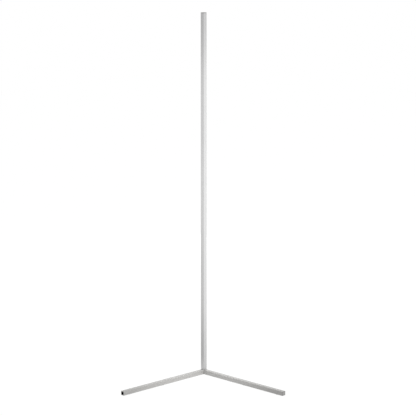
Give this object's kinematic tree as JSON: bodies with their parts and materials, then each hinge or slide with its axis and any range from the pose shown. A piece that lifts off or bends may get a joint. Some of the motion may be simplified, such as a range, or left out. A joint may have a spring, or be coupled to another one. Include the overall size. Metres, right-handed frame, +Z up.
{
  "type": "corner floor lamp",
  "caption": "Slim corner floor lamp: a square light pole on a three-way corner joint, with two low legs at a right angle and a round power inlet in one leg's tip.",
  "frame": {"origin": "on the pole's axis at floor level, at the centre of the corner pad's underside", "axes": "+Z up along the pole, +X along the right leg, -Y along the left leg, which has the power inlet in its tip; the pole's light faces -X +Y, the room's corner"},
  "size_m": [0.434, 0.434, 1.4],
  "materials": {
    "anodised_aluminium": "satin",
    "painted_steel": "satin",
    "cast_joint": "satin",
    "opal_plastic": "satin",
    "grey_cap_plastic": "satin",
    "silver_cap_plastic": "satin",
    "black_plastic": "matte",
    "plated_contact": "polished",
    "dark_screw": "satin",
    "rubber_pad": "matte",
    "white_board": "satin",
    "green_board": "satin",
    "tray_plastic": "matte",
    "chip_body": "satin",
    "phosphor": "gloss",
    "black_component": "satin",
    "capacitor_can": "satin",
    "red_insulation": "satin",
    "black_insulation": "satin"
  },
  "bodies": {
    "root": {"pole_profile": "anodised_aluminium", "opal_cover": "opal_plastic", "led_strip_board": "white_board", "led_chips": "chip_body", "led_phosphors": "phosphor", "strip_resistors": "black_component", "pole_top_cap": "grey_cap_plastic", "corner_joint": "cast_joint", "pole_screw": "dark_screw", "left_leg_tube": "painted_steel", "right_leg_tube": "painted_steel", "left_leg_screws": "dark_screw", "right_leg_screws": "dark_screw", "right_leg_cap": "grey_cap_plastic", "inlet_cap": "silver_cap_plastic", "inlet_housing": "black_plastic", "inlet_centre_pin": "plated_contact", "inlet_spring_contact": "plated_contact", "inlet_screw": "dark_screw", "control_board": "green_board", "control_board_tray": "tray_plastic", "control_chips": "black_component", "control_capacitor": "capacitor_can", "supply_wire_positive": "red_insulation", "supply_wire_negative": "black_insulation", "strip_wire_positive": "red_insulation", "strip_wire_negative": "black_insulation", "corner_pad": "rubber_pad", "left_leg_pads": "rubber_pad", "right_leg_pads": "rubber_pad"}
  },
  "joints": []
}
